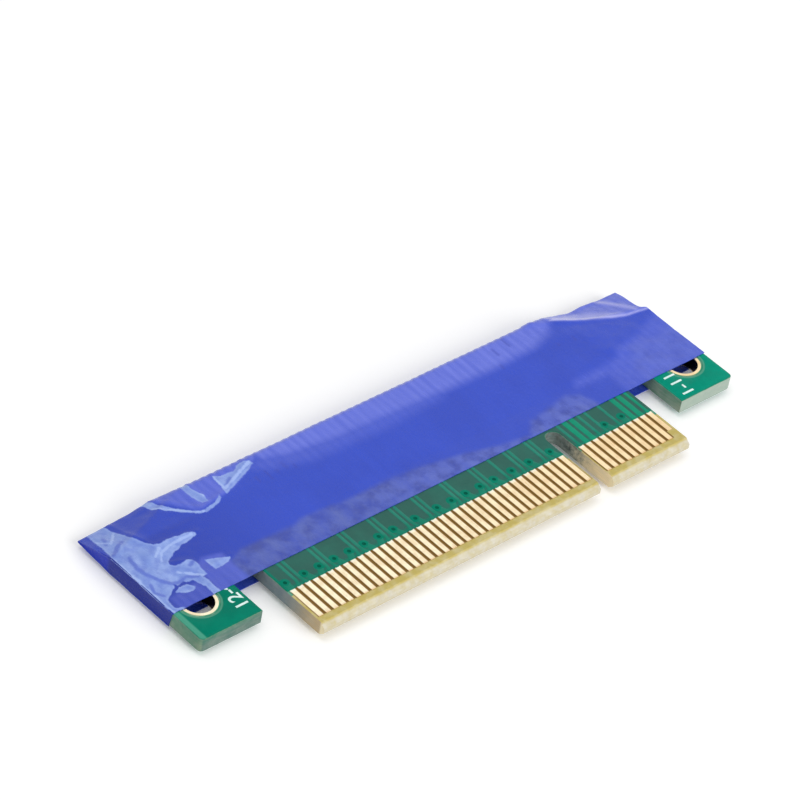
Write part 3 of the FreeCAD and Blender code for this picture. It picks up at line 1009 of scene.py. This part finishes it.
# Patches of painted sheen, of painted highlight along the right flap's crease, and of the band pressed onto
# the board.
SOFT_MARKS = (
    Patch("painted_sheen", 0.45, path(-44.5, 13.2, -43.2, 14, -41, 13.4, -41, 9.2, -44.6, 9.2)),
    Patch("painted_sheen", 0.3, path(-49.6, 11.2, -45.8, 11.6, -45.5, 9.2, -49.6, 9.2)),
    Patch("painted_sheen", 0.62, path(-42.8, 23.6, -39.2, 19.1, -35.7, 19.6, -33.9, 20, -30.4, 21.4, -29, 22.4,
        -29, 23.6)),
    Patch("painted_sheen", 0.85, path(-30, 24.4, -28.6, 21.6, -26, 20.7, -20, 20, -8, 19.6, 2, 19.4, 8, 19.6, 11, 20.6,
        12.2, 22, 12.2, 24.4), 0.9),
    Patch("painted_sheen", 0.75, path(10.5, 23, 12.5, 21.9, 15, 20.6, 18, 19.5, 21, 18.4, 23.9, 17.9, 23.9, 24,
        10.5, 24), 0.25),
    Patch("rim", 0.9, path(12.4, 22, 13.5, 21.5, 15, 20.7, 17, 19.9, 19, 19, 21, 18.4, 23.8, 18, 23.8, 18.1,
        21, 18.6, 19, 19.4, 17, 20.5, 15, 21.4, 13.2, 22.3), 0.2),
    Patch("rim", 0.45, path(12.6, 22.4, 15, 21, 18, 19.6, 21, 18.6, 18, 21.2, 15, 22.2), 0.7),
    Patch("rim", 0.6, path(20.1, 22.6, 20.9, 22.6, 22.9, 18.6, 22.3, 18.5), 0.4),
    Patch("painted_sheen", 0.36, path(7.5, 12.6, 8, 13.5, 12, 13.6, 14.6, 13.8, 16, 14.9, 19, 15.3, 23.8, 17.2,
        23.8, 9.2, 12, 9.2, 12, 12.3), 0.7),
    Patch("stuck", 0.85, path(-41, 9.1, -41, 12, -39, 12.8, -32, 12.6, -31, 13, -27, 12.8, -26, 12.5,
        -20, 12.6, -15, 12.2, -10, 11.3, -6, 10.3, -2, 9.7, -2, 9.1), 0.4),
    Patch("stuck", 0.8, path(-2.6, 9.1, -0.4, 11.3, 2.6, 11.8, 5.6, 12.3, 7, 11.6, 7.6, 10.2, 7.8, 9.1), 0.5),
    Patch("painted_sheen", 0.3, path(-31, 21.4, -29, 20, -24, 18.6, -14, 18.4, -6, 18.8, -6, 21, -28, 22), 0.9),
    Patch("stuck", 0.4, path(15.4, 9.1, 15.4, 12, 17.5, 14.4, 20, 14, 23.8, 14.6, 23.8, 9.1), 0.7),
)
# Darker dashes across the far band: each one's X, and its ends along Y.
DASHES = ((-31.1, 18.9, 20.1), (-29.7, 18.6, 20.3), (-28.6, 18.9, 19.8), (-27.4, 19, 20.4), (-26.5, 18.6,
          19.5), (3.7, 20.5, 22), (5.8, 21, 23), (2.7, 18.6, 19.6), (12.8, 18, 19), (10.6, 18.3, 18.9))
CREASES = (
    Crease(path(-49.6, 23, -48.6, 19, -49.6, 16, -48.2, 12.6), 0.4, 0.09),
    Crease(path(-46.9, 19.6, -46.2, 17.9, -41.2, 17.1), 0.35, 0.09),
    Crease(path(-46.5, 15.1, -44.3, 14.2, -44.1, 12), 0.3, 0.08),
    Crease(path(-47.2, 23.2, -47, 20), 0.3, 0.07),
    Crease(path(-45, 12, -45, 9.4), 0.3, 0.08),
    Crease(path(-50.2, 9.4, -50.2, 19), 0.25, 0.08),
    Crease(path(-42.3, 23.4, -38.8, 19.3, -35.2, 20), 0.3, 0.08),
    Crease(path(-37.6, 23.2, -37.3, 20.6), 0.25, 0.06),
    Crease(path(-34.6, 22.6, -34.4, 20.4, -30.2, 22.4), 0.3, 0.07),
    Crease(path(10.4, 22.4, 12.5, 21.7, 15, 20.6, 18, 19.6, 21, 18.8, 23.6, 18.4), 0.4, 0.09),
    Crease(path(20, 22.6, 22.9, 18.9), 0.3, 0.06),
    Crease(path(8, 14, 16, 15.6, 23.6, 17.2), 1.0, 0.04),
    Crease(path(-43, 12.6, -40.5, 12.8), 0.3, 0.06),
)
SWELLS = ((-42, 2.4, 0.13), (10.2, 0.9, 0.14), (18.6, 1.6, 0.12))
OVER_ROW = path(9.35, 0.185, 13, 0.185, 19.45, 0.57, 22.65, 0.57, 23.12, 0.285)
STATIONS = (
    Station(-50.7, path(9.35, 0.185, 13, 0.185, 15.8, 0.185, 18.67, 0.185, 23.7, -0.675), -0.585),
    Station(-39.17, OVER_ROW, 0.0),
    Station(12.17, OVER_ROW, 0.0),
    Station(16.4, path(9.35, 0.185, 13, 0.185, 16.45, 0.305, 19.9, 0.305, 22.85, -0.675), 0.0),
    Station(23.7, path(9.35, 0.185, 13, 0.185, 15.8, 0.185, 18.67, 0.185, 22.8, -0.675), -0.085),
)


@frozen
class InsulatingTape:
    """The tape: one sheet, folded over the far edge and pinched at its corners."""

    finishes: dict[str, Material]
    wall: float = 0.08
    left_wall: float = -50.8
    near_front: float = 9.35
    near_back: float = 9.7
    flap_step: float = 0.6
    sheet_width: float = 74.5
    sheet_length: float = 29.3
    columns: tuple[Run, ...] = ((-50.8, -29.0, 156), (-29.0, 10.0, 156), (10.0, 23.7, 72))
    rows: tuple[Run, ...] = ((0.0, 0.475, 86), (0.475, 0.53, 12), (0.53, 1.0, 26))

    def section(self, x: float) -> Array:
        """Return the outline at one X, as (y, height) points from edge to edge."""
        known = [station.x for station in STATIONS]
        halves = np.array([station.upper for station in STATIONS])
        upper = np.array([[np.interp(x, known, halves[:, index, axis]) for axis in (0, 1)]
                          for index in range(halves.shape[1])])
        lower = upper * (1, -1) - (0, THICKNESS)
        fold = np.interp(x, known, [station.fold for station in STATIONS])
        upper[-1, 1] += fold
        lower[-1, 1] += fold
        lower[0, 0] = self.near_back
        return np.concatenate([upper, lower[::-1]])

    def profile(self, x: float) -> Array:
        """Return the section at one X as softly bent (y, z) points."""
        points = self.section(x)
        travel = np.concatenate([[0.0], np.cumsum(np.hypot(*np.diff(points, axis=0).T))])
        fine = np.linspace(0.0, travel[-1], 1200)
        curve = eased(resample(points, travel, fine), 9)
        return resample(curve, fine, spaced(*self.rows) * travel[-1]) + (0, THICKNESS)

    def wrinkles(self, x: Array, y: Array, front: Array) -> Array:
        """Add up the creases, swells and slow waves of the film.

        Args:
            x, y: each point's place on the folded form.
            front: which points lie on the front half.

        Returns:
            How far each point stands off that form, in millimetres.
        """
        over_row = smooth((y - 19.2) / 0.4) * smooth((23.4 - y) / 0.3) * smooth((x + 39.2) / 0.4)
        over_row = over_row * smooth((12.2 - x) / 0.4)
        brink = 0.005 + 0.022 * smooth((y - 22.4) / 0.4)
        lift = -brink * (1 - np.cos(2 * np.pi * (x - 0.5))) * over_row
        for crease in CREASES:
            lift = lift + crease.lift(x, y) * np.where(front, 1.0, 0.45)
        for across, width, height in SWELLS:
            lift = lift + height * np.exp(-((x - across) / width) ** 2) * smooth((y - 22.2) / 0.6)
        slow = np.array([noise.fractal(Vector((a * 0.22, b * 0.3, c * 7.0)), 0.7, 2.1, 3)
                         for a, b, c in zip(x.ravel(), y.ravel(), front.ravel())]).reshape(x.shape)
        ends = np.clip(smooth((-36.0 - x) / 8.0) + smooth((x - 10.0) / 6.0), 0, 1)
        return lift + slow * (0.02 + 0.06 * ends)

    def marks(self, x: Array, y: Array, front: Array) -> dict[str, Array]:
        """Work out the marks that the film's finish reads.

        Args:
            x, y: each point's place on the folded form.
            front: which points lie on the front half.

        Returns:
            Each mark's numbers by its name.
        """
        found = {name: np.zeros(x.shape) for name in MARKS}
        for patch in SOFT_MARKS:
            cover = patch.cover(x, y) * np.where(front, 1.0, 0.5)
            found[patch.mark] = np.maximum(found[patch.mark], cover)
        found["painted_sheen"] *= 0.88 + 0.12 * np.cos(2 * np.pi * (x - 0.5))
        depths = [Patch("glint", 1.0, outline).depth(x, y) for outline in GLINT_OUTLINES]
        found["glint"] = np.clip(np.max(depths, axis=0) - np.where(front, 0.0, 0.3), -1.5, 1.5)
        for name, lines in (("fold", DIM_GLINT_LINES), ("ridge", BRIGHT_GLINT_LINES)):
            found[name] = np.clip(np.min([distance_to(x, y, line) for line in lines], axis=0), 0.0, 1.5)
        for across, low, high in DASHES:
            dash = np.exp(-((x - across) / 0.16) ** 2) * smooth((y - low) / 0.2) * smooth((high - y) / 0.2)
            found["dark_dash"] = np.maximum(found["dark_dash"], dash * np.where(front, 0.7, 0.0))
        return found

    def grid(self, name: str, columns: int, rows: int) -> tuple[Piece, Array]:
        """Lay a flat grid.

        Args:
            name: the piece's name.
            columns, rows: how many faces it has each way.

        Returns:
            The piece, and each vertex's (column, row) as shares from 0 to 1.
        """
        deselect()
        bpy.ops.mesh.primitive_grid_add(x_subdivisions=columns, y_subdivisions=rows, size=2.0)
        piece = take(name)
        flat = np.empty(len(piece.data.vertices) * 3)
        piece.data.vertices.foreach_get("co", flat)
        return piece, (flat.reshape(-1, 3)[:, :2] + 1) / 2

    def write_mark(self, piece: Piece, name: str, values: Array) -> None:
        """Store one number for each point of a mesh."""
        attribute = piece.data.attributes.new(name, "FLOAT", "POINT")
        attribute.data.foreach_set("value", values.astype(np.float32))

    def folded_sheet(self) -> Piece:
        """Lay a grid and carry its points onto the folded form."""
        xs = spaced(*self.columns)
        sections = eased(np.stack([self.profile(x) for x in xs]), 4)
        columns, rows = sections.shape[:2]
        piece, shares = self.grid("folded_tape", columns - 1, rows - 1)
        column, row = np.rint(shares * (columns - 1, rows - 1)).astype(int).T
        along = np.gradient(sections, axis=1)
        outward = np.stack([-along[..., 1], along[..., 0]], axis=-1)
        outward /= np.linalg.norm(outward, axis=-1, keepdims=True) + 1e-9
        front = np.arange(rows)[None, :] <= sections[..., 0].argmax(axis=1)[:, None]
        x, far = np.repeat(xs[:, None], rows, axis=1), sections[..., 0]
        shaped = sections + outward * self.wrinkles(x, far, front)[..., None]
        drawn_in = self.flap_step * smooth((x - 22.0) / 1.7) * smooth((far - 18.2) / 0.5)
        drawn_in = drawn_in * (1 - 0.65 * smooth((far - 18.7) / 4))
        places = np.stack([x - drawn_in, shaped[..., 0], shaped[..., 1]], axis=-1) * MM
        piece.data.vertices.foreach_set("co", places[column, row].ravel())
        for name, values in self.marks(x, far, front).items():
            self.write_mark(piece, name, values[column, row])
        piece.data.update()
        return piece

    def end_wall(self) -> Piece:
        """Close the tape over the card's left end."""
        section = self.profile(self.left_wall)
        tip = int(section[:, 0].argmax())
        piece, shares = self.grid("tape_end_wall", 60, 10)
        share, rise = shares.T
        edges = []
        for half, near in ((section[:tip + 1], self.near_front), (section[tip:][::-1], self.near_back)):
            y = near + share * (half[-1, 0] - near)
            edges.append(np.stack([y, np.interp(y, half[:, 0], half[:, 1])]))
        y, z = edges[1] + (edges[0] - edges[1]) * rise
        sag = 0.05 * np.sin(np.pi * rise) * np.sin(9 * share)
        places = np.stack([self.left_wall + 0.03 + sag, y, z], axis=-1) * MM
        piece.data.vertices.foreach_set("co", places.ravel())
        for name, clear in (("glint", -1.5), ("fold", 1.5), ("ridge", 1.5)):
            self.write_mark(piece, name, np.full(len(share), clear))
        piece.data.update()
        return piece

    def thicken(self, piece: Piece, out: Place) -> None:
        """Turn a sheet's faces to out and give it its wall."""
        if piece.data.polygons[0].normal.dot(Vector(out)) < 0:
            with editing(piece):
                bpy.ops.mesh.flip_normals()
        activate(piece)
        wall = piece.modifiers.new("wall", "SOLIDIFY")
        wall.thickness, wall.offset, wall.use_even_offset = self.wall * MM, -1.0, False
        bpy.ops.object.modifier_apply(modifier=wall.name)
        bpy.ops.object.shade_smooth_by_angle(angle=math.radians(60))

    def build(self) -> list[Piece]:
        """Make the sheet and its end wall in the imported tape's place."""
        sheet, wall = self.folded_sheet(), self.end_wall()
        # The end wall wears the darker copy of the tape: painted shade.
        for piece, out, kind in ((sheet, (0, 0, 1), "tape"), (wall, (-1, 0, 0), "tape_edge")):
            self.thicken(piece, out)
            dress_in(piece, self.finishes[kind])
            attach(piece, "root")
        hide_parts("insulating_tape")
        return [sheet, wall]


# --- studio


@frozen
class Studio:
    """The floor, the lamps and the camera."""

    floor_z: float
    middle: Place = (-13.5, 11.5, 0.8)
    aim: Place = (-9.77, 21.38, 1.57)
    azimuth: float = -49.44
    elevation: float = 39.279
    roll: float = 11.219
    distance: float = 444.57 * MM
    focal_length: float = 193.0
    lamp_size: float = 0.5
    ambient: float = 0.62
    floor_glow: float = 0.16

    def floor(self) -> None:
        """Lay a plain pale floor."""
        deselect()
        bpy.ops.mesh.primitive_plane_add(size=3.0, location=(0, 0, self.floor_z))
        plane = take("studio_floor")
        settle(plane)
        material = bpy.data.materials.new("pale_floor")
        material.use_nodes = True
        build, shader = Graph(material.node_tree), material.node_tree.nodes["Principled BSDF"]
        build.fill(shader, Base_Color=(0.93, 0.93, 0.93, 1.0), Roughness=0.9, Specular_IOR_Level=0.1,
                   Emission_Color=(1.0, 1.0, 1.0, 1.0), Emission_Strength=build.seen() * self.floor_glow)
        dress_in(plane, material)
        plane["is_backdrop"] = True

    def world(self) -> None:
        """Give an even surround that shows as white."""
        world = bpy.data.worlds.new("studio_surround")
        bpy.context.scene.world = world
        world.use_nodes = True
        build, background = Graph(world.node_tree), world.node_tree.nodes["Background"]
        strength = build.seen() * (1.0 - self.ambient) + self.ambient
        build.fill(background, Color=(1.0, 1.0, 1.0, 1.0), Strength=strength)

    def lamp(self, name: str, place: Place, watts: float) -> None:
        """Hang a soft square lamp that looks at the card."""
        light = bpy.data.lights.new(name, "AREA")
        light.size, light.energy = self.lamp_size, watts
        facing = (Vector(self.middle) * MM - Vector(place)).to_track_quat("-Z", "Y")
        link(name, light).matrix_world = Matrix.Translation(place) @ facing.to_matrix().to_4x4()

    def camera(self) -> None:
        """Set the camera at the viewing angle."""
        lens = bpy.data.cameras.new("view")
        lens.sensor_width, lens.lens, lens.clip_start, lens.clip_end = 36.0, self.focal_length, 0.01, 20.0
        camera = link("view", lens)
        place = Matrix.Translation(Vector(self.aim) * MM)
        for angle, axis in ((self.azimuth, "Z"), (90 - self.elevation, "X"), (self.roll, "Z")):
            place = place @ Matrix.Rotation(math.radians(angle), 4, axis)
        camera.matrix_world = place @ Matrix.Translation((0, 0, self.distance))
        bpy.context.scene.camera = camera

    def build(self) -> None:
        """Set up the whole studio."""
        self.floor()
        self.world()
        self.lamp("key", (0.05, -0.75, 0.42), 4.0)
        self.lamp("top", (-0.2, 0.1, 0.9), 1.2)
        self.camera()
        bpy.context.scene.view_settings.view_transform = "Standard"


def main() -> None:
    """Dress the card and set up the studio."""
    logging.basicConfig(level=logging.INFO)
    packed = [list(map(float, corner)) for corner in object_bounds()]
    finishes = make_finishes()
    for maker in (CircuitBoard, ContactNumbers, InsulatingTape):
        for piece in maker(finishes).build():
            LOG.info("%s: %d faces", piece.name, len(piece.data.polygons))
    dressed = [list(map(float, corner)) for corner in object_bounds()]
    Studio(floor_z=min(packed[0][2], dressed[0][2])).build()


if __name__ == "__main__":
    main()
